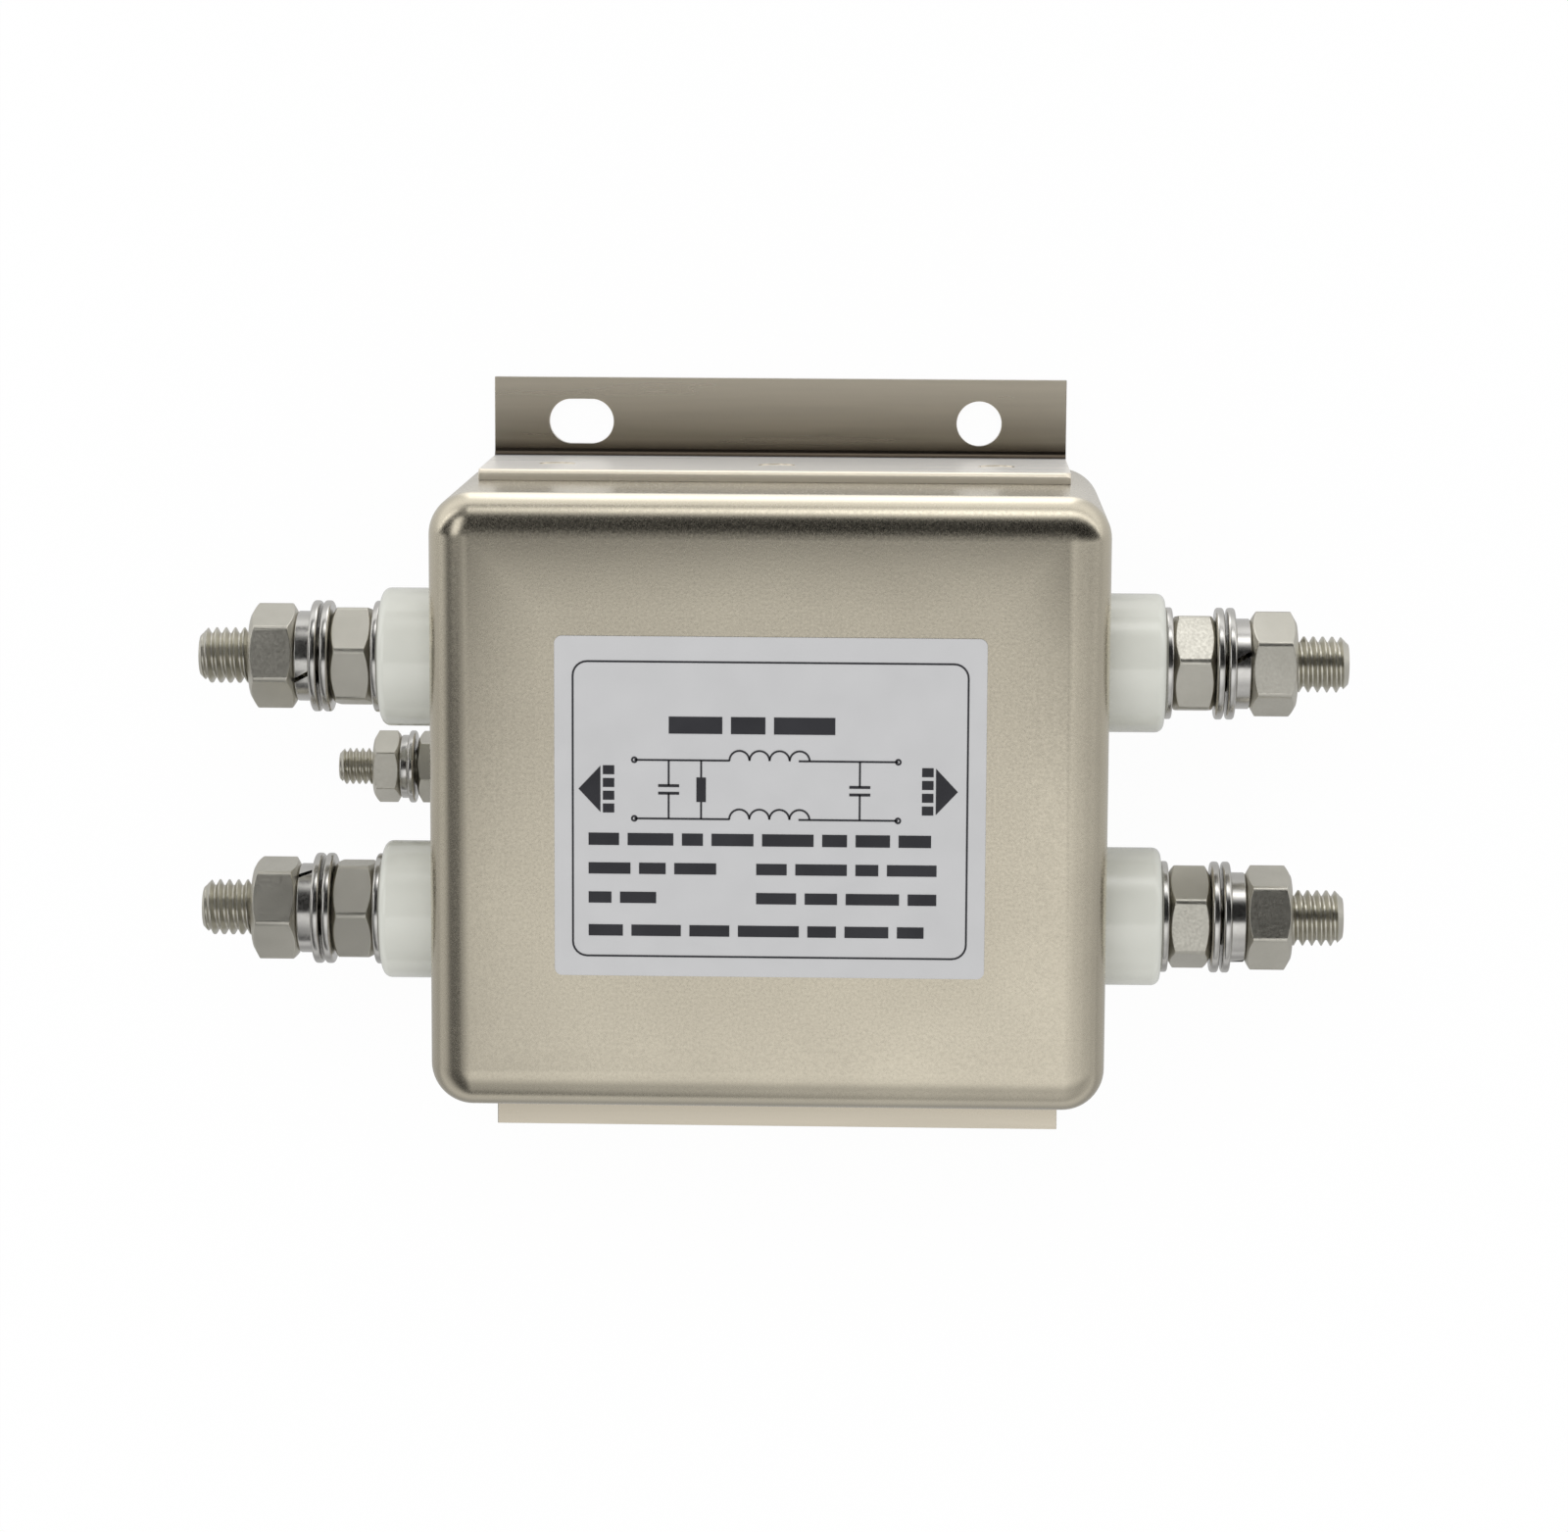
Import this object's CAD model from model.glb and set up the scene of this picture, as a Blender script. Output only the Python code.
"""Dresses the EMI line filter over its CAD frame and sets it in a plain studio.

Every size is in millimetres and is turned to metres where a tool of Blender takes it.
"""

import logging
import math
from dataclasses import dataclass, field
from enum import Enum
from typing import Any, Callable, Sequence

import bpy
from mathutils import Matrix, Vector


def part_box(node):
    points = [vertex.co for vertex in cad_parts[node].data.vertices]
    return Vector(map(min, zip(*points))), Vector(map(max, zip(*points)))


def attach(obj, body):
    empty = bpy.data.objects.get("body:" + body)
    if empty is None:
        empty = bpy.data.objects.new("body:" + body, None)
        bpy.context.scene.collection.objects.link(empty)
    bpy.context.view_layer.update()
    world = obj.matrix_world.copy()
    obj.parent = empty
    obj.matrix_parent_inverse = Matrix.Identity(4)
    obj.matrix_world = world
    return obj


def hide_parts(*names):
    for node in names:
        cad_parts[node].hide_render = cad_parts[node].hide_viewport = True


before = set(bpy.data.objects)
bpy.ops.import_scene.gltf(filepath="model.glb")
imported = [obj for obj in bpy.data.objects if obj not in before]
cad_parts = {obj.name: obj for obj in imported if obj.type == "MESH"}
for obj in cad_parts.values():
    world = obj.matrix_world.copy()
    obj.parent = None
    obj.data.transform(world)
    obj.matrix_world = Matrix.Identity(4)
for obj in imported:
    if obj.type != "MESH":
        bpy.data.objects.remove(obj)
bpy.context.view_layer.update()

MM = 0.001
# Points nearer to each other than this are one point, in metres
MERGE = 0.001 * MM
# Places nearer to each other than this are the same place, in millimetres
NEAR = 0.01
# A direction with more than this share of an axis runs along that axis
ALONG = 0.9
# Edges that turn by more than this many degrees count as sharp and are broken
EDGE_ANGLE = 28
ROUND_STEPS = 5
PAN_STEPS = 14
# Shares of a metric thread's pitch: its depth, the rise of its flank, the flat on its crest
# and how far its pitch line lies below the crest
THREAD_DEPTH = 0.613
THREAD_FLANK = 0.354
THREAD_CREST = 0.125
PITCH_LINE = 0.325
# Nearly all of a noise lies between these values
NOISE = (0.25, 0.75)
# The brightest that a run of light can hold, in times white
BRIGHTEST = 4.0
HARDWARE = "nickel_hardware"
log = logging.getLogger("line_filter")

Place = tuple[float, float, float]
Stops = Sequence[tuple[float, float]]
Test = Callable[[Vector, Vector], bool]
Tool = Callable[..., set[str]]


# ---- The bench: selection, edit tools and modifiers ----


class Pick(Enum):
    """What a selection in edit mode is made of."""

    POINTS = "VERT"
    EDGES = "EDGE"
    FACES = "FACE"


class Join(Enum):
    """How one solid changes another."""

    CUT = "DIFFERENCE"
    COMMON = "INTERSECT"
    WELD = "UNION"


class Side(Enum):
    """The two terminal walls, with the direction of their studs along X."""

    LINE = -1
    LOAD = 1


@dataclass(frozen=True)
class Corner:
    """One corner of a section: its radius from the axis, its height and its rounding."""

    r: float
    z: float
    edge: float = 0.0


def box_mm(node: str) -> tuple[Vector, Vector]:
    """Gives the lowest and highest corners of a CAD node's box, in millimetres."""
    low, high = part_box(node)
    return Vector(low) / MM, Vector(high) / MM


def activate(obj: bpy.types.Object) -> None:
    """Selects one object alone and makes it the active one.

    Args:
        obj: the object that the next tools work on.
    """
    bpy.ops.object.select_all(action="DESELECT")
    obj.select_set(True)
    bpy.context.view_layer.objects.active = obj


class Workpiece:
    """A mesh on the bench, which is shaped with Blender's own tools."""

    def __init__(self, obj: bpy.types.Object) -> None:
        """Takes the object that the bench works on."""
        self.obj = obj

    @classmethod
    def begun(
        cls, name: str, tool: Tool, stretch: Sequence[float] = (1, 1, 1), **settings: Any
    ) -> "Workpiece":
        """Adds a primitive and puts its place and its stretch in its mesh.

        Args:
            name: the piece's name.
            tool: the tool that adds the primitive.
            stretch: how many times longer it gets along each axis.
            settings: the tool's settings.

        Returns:
            The primitive on the bench.
        """
        bpy.ops.object.select_all(action="DESELECT")
        tool(**settings)
        obj = bpy.context.active_object
        obj.name = obj.data.name = name
        obj.scale = stretch
        bpy.ops.object.transform_apply(location=True, rotation=True, scale=True)
        return cls(obj)

    @classmethod
    def block(cls, name: str, low: Sequence[float], high: Sequence[float]) -> "Workpiece":
        """Starts from a cube that is as large as a box.

        Args:
            name: the piece's name.
            low: the box's lowest corner.
            high: the box's highest corner.

        Returns:
            The block on the bench.
        """
        centre = [(a + b) / 2 * MM for a, b in zip(low, high)]
        spans = [(b - a) * MM for a, b in zip(low, high)]
        cube = bpy.ops.mesh.primitive_cube_add
        return cls.begun(name, cube, spans, size=1, location=centre)

    @classmethod
    def rod(
        cls, name: str, radius: float, bottom: float, top: float, sides: int = 48
    ) -> "Workpiece":
        """Starts from a cylinder on the Z axis between two heights."""
        return cls.begun(
            name,
            bpy.ops.mesh.primitive_cylinder_add,
            vertices=sides,
            radius=radius * MM,
            depth=(top - bottom) * MM,
            location=(0, 0, (top + bottom) / 2 * MM),
        )

    @classmethod
    def wire(cls, name: str, corners: Sequence[Corner], closed: bool) -> "Workpiece":
        """Draws a section from corner to corner and rounds the corners that ask for it.

        Args:
            name: the piece's name.
            corners: the section's corners, in the XZ plane.
            closed: whether the last corner is joined to the first.

        Returns:
            The drawn section on the bench.
        """
        piece = cls.begun(name, bpy.ops.mesh.primitive_plane_add, size=MM)
        piece.all().edit(bpy.ops.mesh.merge, type="CENTER")
        places = [Vector((c.r, 0, c.z)) * MM for c in corners]
        piece.edit(bpy.ops.transform.translate, value=places[0])
        for here, there in zip(places, places[1:] + places[: int(closed)]):
            step = {"value": there - here}
            piece.edit(bpy.ops.mesh.extrude_region_move, TRANSFORM_OT_translate=step)
        piece.all().edit(bpy.ops.mesh.remove_doubles, threshold=MERGE)
        for corner in (c for c in corners if c.edge):
            spot = Vector((corner.r, 0, corner.z))
            piece.pick(Pick.POINTS, lambda at, _, s=spot: (at - s).length < NEAR)
            piece.rounded(
                corner.edge, ROUND_STEPS, affect="VERTICES", clamp_overlap=False
            )
        return piece

    @classmethod
    def turned(
        cls, name: str, corners: Sequence[Corner], closed: bool = True, sides: int = 72
    ) -> "Workpiece":
        """Spins a section about the Z axis, as on a lathe.

        Args:
            name: the piece's name.
            corners: the section's corners.
            closed: whether the section closes on itself and not on the axis.
            sides: how many steps the full turn has.

        Returns:
            The turned piece on the bench.
        """
        piece = cls.wire(name, corners, closed)
        piece.all().edit(
            bpy.ops.mesh.spin,
            steps=sides,
            angle=math.tau,
            center=(0, 0, 0),
            axis=(0, 0, 1),
        )
        return piece.closed_up()

    def closed_up(self) -> "Workpiece":
        """Merges doubles and turns every face outwards."""
        self.all().edit(bpy.ops.mesh.remove_doubles, threshold=MERGE)
        return self.all().edit(bpy.ops.mesh.normals_make_consistent, inside=False)

    def all(self) -> "Workpiece":
        """Selects the whole mesh."""
        return self.pick(Pick.POINTS, lambda at, way: True)

    def pick(self, kind: Pick, test: Test) -> "Workpiece":
        """Selects points, edges or faces in code.

        Args:
            kind: what is selected.
            test: gets the middle of each, in millimetres, with the normal of a point or
                face or the direction of an edge, and says whether it is selected.

        Returns:
            The same workpiece.
        """
        mesh = self.obj.data
        activate(self.obj)
        bpy.ops.object.mode_set(mode="EDIT")
        bpy.ops.mesh.select_mode(type=kind.value)
        bpy.ops.mesh.select_all(action="DESELECT")
        bpy.ops.object.mode_set(mode="OBJECT")
        if kind is Pick.FACES:
            for face in mesh.polygons:
                face.select = test(face.center / MM, face.normal)
        elif kind is Pick.EDGES:
            for edge in mesh.edges:
                a, b = (mesh.vertices[i].co for i in edge.vertices)
                edge.select = test((a + b) / 2 / MM, (b - a).normalized())
        else:
            for point in mesh.vertices:
                point.select = test(point.co / MM, point.normal)
        return self

    def edit(self, tool: Tool, **settings: Any) -> "Workpiece":
        """Runs one edit-mode tool on what is selected.

        Args:
            tool: the edit-mode tool.
            settings: the tool's settings.

        Returns:
            The same workpiece.
        """
        activate(self.obj)
        bpy.ops.object.mode_set(mode="EDIT")
        tool(**settings)
        bpy.ops.object.mode_set(mode="OBJECT")
        return self

    def rounded(self, width: float, steps: int, **settings: Any) -> "Workpiece":
        """Bevels what is selected into an arc of some width and number of steps."""
        arc = {"offset": width * MM, "segments": steps, "profile": 0.5}
        return self.edit(bpy.ops.mesh.bevel, **arc, **settings)

    def modify(self, kind: str, **settings: Any) -> "Workpiece":
        """Adds a modifier, sets it and applies it.

        Args:
            kind: the modifier's type.
            settings: its properties.

        Returns:
            The same workpiece.
        """
        activate(self.obj)
        modifier = self.obj.modifiers.new(kind.title(), kind)
        for name, value in settings.items():
            setattr(modifier, name, value)
        bpy.ops.object.modifier_apply(modifier=modifier.name)
        return self

    def combine(self, how: Join, tool: "Workpiece") -> "Workpiece":
        """Cuts, keeps or welds with another solid, which is used up.

        Args:
            how: what the tool does to this piece.
            tool: the other solid.

        Returns:
            The same workpiece.
        """
        self.modify("BOOLEAN", operation=how.value, solver="EXACT", object=tool.obj)
        bpy.data.objects.remove(tool.obj)
        return self

    def joined(self, other: "Workpiece") -> "Workpiece":
        """Takes a separate solid into the same piece.

        Args:
            other: the solid, which doesn't touch this one.

        Returns:
            The same workpiece.
        """
        activate(self.obj)
        other.obj.select_set(True)
        bpy.ops.object.join()
        return self

    def softened(self, width: float, segments: int = 2) -> "Workpiece":
        """Breaks the sharp edges with a small bevel."""
        return self.modify(
            "BEVEL",
            width=width * MM,
            segments=segments,
            limit_method="ANGLE",
            angle_limit=math.radians(EDGE_ANGLE),
            use_clamp_overlap=True,
        )

    def shaded(self, angle: float = 32) -> "Workpiece":
        """Shades the round parts smooth and keeps the flat faces flat.

        Args:
            angle: edges sharper than this angle stay sharp, in degrees.

        Returns:
            The same workpiece.
        """
        activate(self.obj)
        bpy.ops.object.shade_smooth_by_angle(angle=math.radians(angle))
        return self.modify("WEIGHTED_NORMAL", weight=50, keep_sharp=True)

    def placed(self, place: Matrix) -> "Workpiece":
        """Moves the piece to its place, in metres, and keeps the move in its mesh."""
        activate(self.obj)
        self.obj.matrix_world = place
        bpy.ops.object.transform_apply(location=True, rotation=True, scale=True)
        return self

    def copied(self, name: str, place: Matrix) -> "Workpiece":
        """Copies the piece with its own mesh to its place.

        Args:
            name: the copy's name.
            place: where the copy goes, in metres.

        Returns:
            The copy on the bench.
        """
        activate(self.obj)
        bpy.ops.object.duplicate(linked=False)
        obj = bpy.context.active_object
        obj.name = obj.data.name = name
        return Workpiece(obj).placed(place)

    def removed(self) -> None:
        """Takes a used master off the bench."""
        bpy.data.objects.remove(self.obj)

    def mounted(self, finish: bpy.types.Material, slot: str, *nodes: str) -> None:
        """Dresses the finished piece and puts it in the frame.

        Args:
            finish: the piece's material.
            slot: the record's material slot.
            nodes: the CAD nodes that the piece stands for.
        """
        self.obj.data.materials.clear()
        self.obj.data.materials.append(finish)
        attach(self.obj, "root")
        if nodes:
            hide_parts(*nodes)
        log.info("%s: %d faces", self.obj.name, len(self.obj.data.polygons))


# ---- Finishes ----


def linear(colour: str) -> tuple[float, float, float, float]:
    """Turns an sRGB hex value into a linear colour.

    Args:
        colour: six hex digits after a #.

    Returns:
        Red, green and blue as linear values, and an alpha of 1.
    """
    parts = (int(colour[i : i + 2], 16) / 255 for i in (1, 3, 5))
    red, green, blue = (
        c / 12.92 if c <= 0.04045 else ((c + 0.055) / 1.055) ** 2.4 for c in parts
    )
    return red, green, blue, 1.0


def add_node(
    tree: bpy.types.NodeTree, kind: str, inputs: dict[Any, Any], **settings: Any
) -> bpy.types.Node:
    """Adds a node with its settings, and links the inputs that are given a socket.

    Args:
        tree: the tree that the node joins.
        kind: the node's type.
        inputs: values or sockets for the node's inputs, by name or number.
        settings: the node's own properties.

    Returns:
        The new node.
    """
    made = tree.nodes.new(kind)
    for name, value in settings.items():
        setattr(made, name, value)
    for name, value in inputs.items():
        if isinstance(value, bpy.types.NodeSocket):
            tree.links.new(value, made.inputs[name])
        else:
            made.inputs[name].default_value = value
    return made


class Graph:
    """A node tree with short ways to add to it."""

    def __init__(self, tree: bpy.types.NodeTree) -> None:
        """Takes the tree that the nodes join."""
        self.tree = tree

    def add(self, kind: str, inputs: dict[Any, Any], **settings: Any) -> Any:
        """Adds a node and gives its first output."""
        return add_node(self.tree, kind, inputs, **settings).outputs[0]

    def parts(self, kind: str, inputs: dict[Any, Any]) -> Any:
        """Adds a node and gives all its outputs."""
        return add_node(self.tree, kind, inputs).outputs

    def math(self, operation: str, *inputs: Any) -> Any:
        """Adds one step of arithmetic with values and sockets."""
        return self.add("ShaderNodeMath", dict(enumerate(inputs)), operation=operation)

    def spread(self, value: Any, *ends: float) -> Any:
        """Maps a value from one range to another, or to 0 and 1 where none is given."""
        return self.add("ShaderNodeMapRange", dict(enumerate((value, *ends))))

    def either(self, factor: Any, first: Any, then: Any) -> Any:
        """Passes from one value to another by a factor."""
        return self.add("ShaderNodeMix", {0: factor, 2: first, 3: then}, data_type="FLOAT")

    def colour(self, factor: Any, first: Any, then: Any) -> Any:
        """Passes from one colour to another by a factor."""
        inputs = {"Factor": factor, 6: first, 7: then}
        return add_node(self.tree, "ShaderNodeMix", inputs, data_type="RGBA").outputs[2]

    def run(self, along: Any, low: float, high: float, stops: Stops) -> Any:
        """Adds a brightness that runs from stop to stop along a value.

        Args:
            along: the socket of the value.
            low: the lowest value that the run can hold.
            high: the highest value.
            stops: values and their brightness.

        Returns:
            The socket that gives the brightness.
        """
        place = self.spread(along, low, high)
        ramp = add_node(self.tree, "ShaderNodeValToRGB", {"Fac": place})
        dots = ramp.color_ramp.elements
        for index, (value, light) in enumerate(stops):
            spot = (value - low) / (high - low)
            dot = dots[index] if index < 2 else dots.new(spot)
            dot.position = spot
            dot.color = [light / BRIGHTEST] * 3 + [1]
        return self.math("MULTIPLY", ramp.outputs[0], BRIGHTEST)


class Sheet(Graph):
    """An empty material with its shader and the piece's own coordinates."""

    def __init__(self, name: str, **values: Any) -> None:
        """Opens a material.

        Args:
            name: the material's name.
            values: constants for the shader's sockets, with _ for a space.
        """
        self.material = bpy.data.materials.new(name)
        self.material.use_nodes = True
        super().__init__(self.material.node_tree)
        self.shader = self.tree.nodes["Principled BSDF"]
        for key, value in values.items():
            self.shader.inputs[key.replace("_", " ")].default_value = value
        self.place = self.parts("ShaderNodeTexCoord", {})["Object"]

    def grain(self, size: float, detail: float = 2.0, place: Any = None) -> Any:
        """Adds noise whose spots are about as wide as a size in millimetres."""
        vector = self.place if place is None else place
        inputs = {"Vector": vector, "Scale": 1 / (size * MM), "Detail": detail}
        return self.add("ShaderNodeTexNoise", inputs)

    def link(self, socket: str, output: Any) -> None:
        """Links an output to a socket of the shader."""
        self.tree.links.new(output, self.shader.inputs[socket])

    def tint(self, factor: Any, low: str, high: str) -> None:
        """Lets the base colour run between two colours by a factor."""
        self.link("Base Color", self.colour(factor, linear(low), linear(high)))

    def level(self, factor: Any, low: float, high: float) -> Any:
        """Spreads the middle of a noise over a range, from its dark to its light spots."""
        return self.spread(factor, *NOISE, low, high)

    def clouds(self, size: float, low: str, high: str) -> None:
        """Lets the base colour drift between two colours in clouds of a size."""
        self.tint(self.level(self.grain(size), 0, 1), low, high)

    def worn(self, factor: Any, low: float, high: float) -> None:
        """Lets the roughness vary between two values by a noise."""
        self.link("Roughness", self.level(factor, low, high))

    def bump(self, height: Any, depth: float, strength: float = 1.0) -> None:
        """Raises the surface by a height pattern of a depth in millimetres."""
        inputs = {"Height": height, "Distance": depth * MM, "Strength": strength}
        self.link("Normal", self.add("ShaderNodeBump", inputs))


@dataclass(frozen=True)
class Finish:
    """What most finishes share: a name, two near colours and how rough they are."""

    name: str
    low: str
    high: str
    roughness: float


@dataclass(frozen=True)
class NickelPlate(Finish):
    """Electroplated nickel over steel: a warm, slightly clouded mirror.

    The steel's own grain shows through the thin plating, so it reflects as a satin sheen
    with fine specks, and long soft clouds vary its colour.
    """

    spread: float
    grain: float
    depth: float
    cloud: float = 14.0
    # Dull plating turns pale where it is seen along its face
    veil: float = 0.0

    def material(self) -> bpy.types.Material:
        """Makes the plated metal."""
        sheet = Sheet(self.name, Metallic=1.0, Sheen_Weight=self.veil, Sheen_Roughness=0.3)
        sheet.clouds(self.cloud, self.low, self.high)
        speck = sheet.grain(self.grain, 3)
        sheet.worn(speck, self.roughness - self.spread, self.roughness + self.spread)
        sheet.bump(speck, self.depth)
        return sheet.material


@dataclass(frozen=True)
class BarrelNickel:
    """Barrel-plated sheet: dull nickel, dark in the bend where little of it settles.

    The flange turns paler towards its edge, where more of it settles, and the standing web
    keeps an ivory bloom from the bath, which dulls its mirror.
    """

    name: str
    inner: str
    outer: str
    bend: str
    bloom: str
    # Places across the bracket where the flange turns paler and the bend darker, and
    # heights where the bloom begins and where it ends at the web's rim
    flange: tuple[float, float] = (35.5, 42.0)
    dark_y: tuple[float, float] = (35.7, 34.6)
    bloom_z: tuple[float, float] = (2.4, 3.2)
    rim_z: tuple[float, float] = (19.9, 20.7)
    # How much of the web's metal shows through its bloom
    bare: float = 0.6
    roughness: float = 0.3
    # Width of the rolling streaks, which run along the bracket, and how far they move the
    # place where the flange turns paler
    streak: float = 1.6
    stretch: float = 0.06
    drift: float = 1.2

    def material(self) -> bpy.types.Material:
        """Makes the plated sheet, with its colour led by the place on the bracket."""
        sheet = Sheet(self.name, Sheen_Weight=1.0, Sheen_Roughness=0.3)
        parts = sheet.parts("ShaderNodeSeparateXYZ", {0: sheet.place})
        across, up = sheet.math("ABSOLUTE", parts["Y"]), parts["Z"]
        squeeze = {0: sheet.place, 1: (self.stretch, 1, 1)}
        rolled = sheet.add("ShaderNodeVectorMath", squeeze, operation="MULTIPLY")
        streaks = sheet.grain(self.streak, 2.0, rolled)
        drift = sheet.level(streaks, -self.drift, self.drift)
        pale = sheet.math("MULTIPLY_ADD", drift, MM, across)
        colour = linear(self.inner)
        for at, (start, end), then in (
            (pale, self.flange, self.outer),
            (across, self.dark_y, self.bend),
            (up, self.bloom_z, self.bloom),
            (up, self.rim_z, self.outer),
        ):
            factor = sheet.spread(at, start * MM, end * MM)
            colour = sheet.colour(factor, colour, linear(then))
        sheet.link("Base Color", colour)
        bloom = (end * MM for end in self.bloom_z)
        sheet.link("Metallic", sheet.spread(up, *bloom, 1.0, self.bare))
        sheet.worn(streaks, self.roughness - 0.04, self.roughness + 0.04)
        sheet.bump(sheet.grain(0.25), 0.0004, 0.3)
        return sheet.material


@dataclass(frozen=True)
class MouldedPlastic(Finish):
    """Injection-moulded plastic: an even body colour under a smooth, glossy skin.

    The skin follows the polished mould, with a faint waviness where the part shrank.
    """

    wave: float = 3.0
    depth: float = 0.006

    def material(self) -> bpy.types.Material:
        """Makes the moulded plastic."""
        sheet = Sheet(self.name, IOR=1.54)
        sheet.clouds(self.wave * 2, self.low, self.high)
        sheet.worn(sheet.grain(0.3), self.roughness * 0.85, self.roughness * 1.2)
        sheet.bump(sheet.grain(self.wave), self.depth)
        return sheet.material


@dataclass(frozen=True)
class PrintedFilm(Finish):
    """Polyester label film with a matt face: even, pale, with the finest of textures."""

    def material(self) -> bpy.types.Material:
        """Makes the film or the ink on it."""
        sheet = Sheet(self.name, IOR=1.5, Specular_IOR_Level=0.35)
        sheet.clouds(5, self.low, self.high)
        speck = sheet.grain(0.12)
        sheet.worn(speck, self.roughness * 0.9, self.roughness * 1.1)
        sheet.bump(speck, 0.002)
        return sheet.material


@dataclass(frozen=True)
class GlassLaminate:
    """Epoxy board with woven glass in it: the weave shows faintly under the varnish."""

    name: str = "glass_epoxy_laminate"
    low: str = "#47703f"
    high: str = "#5b8a52"
    thread: float = 0.6

    def material(self) -> bpy.types.Material:
        """Makes the laminate."""
        sheet = Sheet(self.name, IOR=1.55, Roughness=0.35)
        inputs = {"Vector": sheet.place, "Scale": 0.3 / (self.thread * MM)}
        waves = (
            sheet.add("ShaderNodeTexWave", inputs, bands_direction=way) for way in "XY"
        )
        weave = sheet.math("MULTIPLY", *waves)
        sheet.tint(weave, self.low, self.high)
        sheet.bump(weave, 0.01)
        return sheet.material


@dataclass(frozen=True)
class BandedBody:
    """Lacquered resistor body: buff lacquer with plain colour rings round it."""

    name: str = "lacquered_resistor_body"
    body: str = "#c9a878"
    ring: str = "#5a3420"
    pitch: float = 2.2

    def material(self) -> bpy.types.Material:
        """Makes the lacquered body."""
        sheet = Sheet(self.name, IOR=1.5, Roughness=0.3)
        inputs = {"Vector": sheet.place, "Scale": 0.314 / (self.pitch * MM)}
        wave = sheet.add("ShaderNodeTexWave", inputs, bands_direction="Y")
        sheet.tint(sheet.spread(wave, 0.8, 0.86, 0.0, 1.0), self.body, self.ring)
        sheet.bump(sheet.grain(0.8), 0.01)
        return sheet.material


@dataclass(frozen=True)
class DrawnMetal(Finish):
    """Drawn wire or stamped strip: bright soft metal with fine drawing marks."""

    coat: float = 0.0

    def material(self) -> bpy.types.Material:
        """Makes the bare, tinned or enamelled metal."""
        sheet = Sheet(self.name, Metallic=1.0, Coat_Weight=self.coat, Coat_Roughness=0.1)
        sheet.clouds(2.5, self.low, self.high)
        speck = sheet.grain(0.2)
        sheet.worn(speck, self.roughness * 0.8, self.roughness * 1.25)
        sheet.bump(speck, 0.003)
        return sheet.material


@dataclass(frozen=True)
class CoatedBody(Finish):
    """Dipped or powdered epoxy coat: a dull skin with the small orange peel of its cure."""

    peel: float = 0.5

    def material(self) -> bpy.types.Material:
        """Makes the coated body."""
        sheet = Sheet(self.name, IOR=1.52)
        peel = sheet.grain(self.peel, 1)
        sheet.clouds(4, self.low, self.high)
        sheet.worn(peel, self.roughness * 0.85, self.roughness * 1.15)
        sheet.bump(peel, 0.02)
        return sheet.material


# ---- The housing ----


@dataclass
class DrawnPan:
    """A pan drawn from flat sheet: round upright corners and a round edge at its floor."""

    node: str
    corner_r: float
    edge_r: float
    sheet_t: float = 1.0
    floor_up: bool = True
    # Rings of the floor from its edge inwards: their width, and their slope in degrees
    crown: tuple[tuple[float, float], ...] = ()

    def shape(self) -> Workpiece:
        """Draws the pan inside its CAD node's box.

        Returns:
            The hollow pan, open opposite its floor.
        """
        low, high = box_mm(self.node)
        floor_z, mouth_z = (high.z, low.z) if self.floor_up else (low.z, high.z)
        rises = [width * math.tan(math.radians(slope)) for width, slope in self.crown]
        floor_z -= sum(rises)
        high.z = max(mouth_z, floor_z)
        pan = Workpiece.block(f"{self.node}_drawn", low, high)
        pan.pick(Pick.EDGES, lambda at, way: abs(way.z) > ALONG)
        pan.rounded(self.corner_r, PAN_STEPS, clamp_overlap=False)
        pan.pick(Pick.EDGES, lambda at, way: abs(at.z - floor_z) < NEAR)
        pan.rounded(self.edge_r, PAN_STEPS, clamp_overlap=False)
        pan.pick(Pick.FACES, lambda at, way: abs(at.z - mouth_z) < NEAR)
        pan.edit(bpy.ops.mesh.delete, type="FACE")
        pan.modify("SOLIDIFY", thickness=self.sheet_t * MM, offset=-1, use_even_offset=True)
        # Each ring of the crown is an inset that rises, with its crowded corners merged
        for (width, _), rise in zip(self.crown, rises):
            pan.pick(Pick.FACES, lambda at, way: way.z > 0.99 and at.xy.length < 1)
            pan.edit(bpy.ops.mesh.inset, thickness=width * MM, depth=rise * MM)
            floor_z += rise
            pan.pick(Pick.POINTS, lambda at, way: abs(at.z - floor_z) < 0.004)
            pan.edit(bpy.ops.mesh.remove_doubles, threshold=0.6 * MM)
        return pan


@dataclass
class Can(DrawnPan):
    """The drawn can with a hole for each terminal and for the earth stud."""

    node: str = "can"
    corner_r: float = 4.5
    edge_r: float = 4.0
    crown: tuple[tuple[float, float], ...] = (
        (0.5, 4.2), (0.6, 3.9), (1.0, 3.3), (1.2, 2.5), (1.4, 1.7), (1.6, 1.0), (1.8, 0.4),
    )
    spigot_hole_r: float = 4.6
    earth_hole_r: float = 2.1

    def build(self, finish: bpy.types.Material) -> None:
        """Draws, pierces and plates the can.

        Args:
            finish: the plated metal.
        """
        can = self.shape()
        spots = [(f"bushing_{t.name}", self.spigot_hole_r) for t in TERMINALS]
        for node, radius in spots + [("earth_outer_nut", self.earth_hole_r)]:
            low, high = box_mm(node)
            middle = (low + high) / 2
            side = 1 if middle.x > 0 else -1
            wall = box_mm("can")[1].x * side
            drill = Workpiece.rod("drill", radius, -3, 3)
            place = wall_frame(side, wall, middle.y, middle.z)
            can.combine(Join.CUT, drill.placed(place))
        can.shaded().mounted(finish, "nickel_plated_can", "can")


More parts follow.
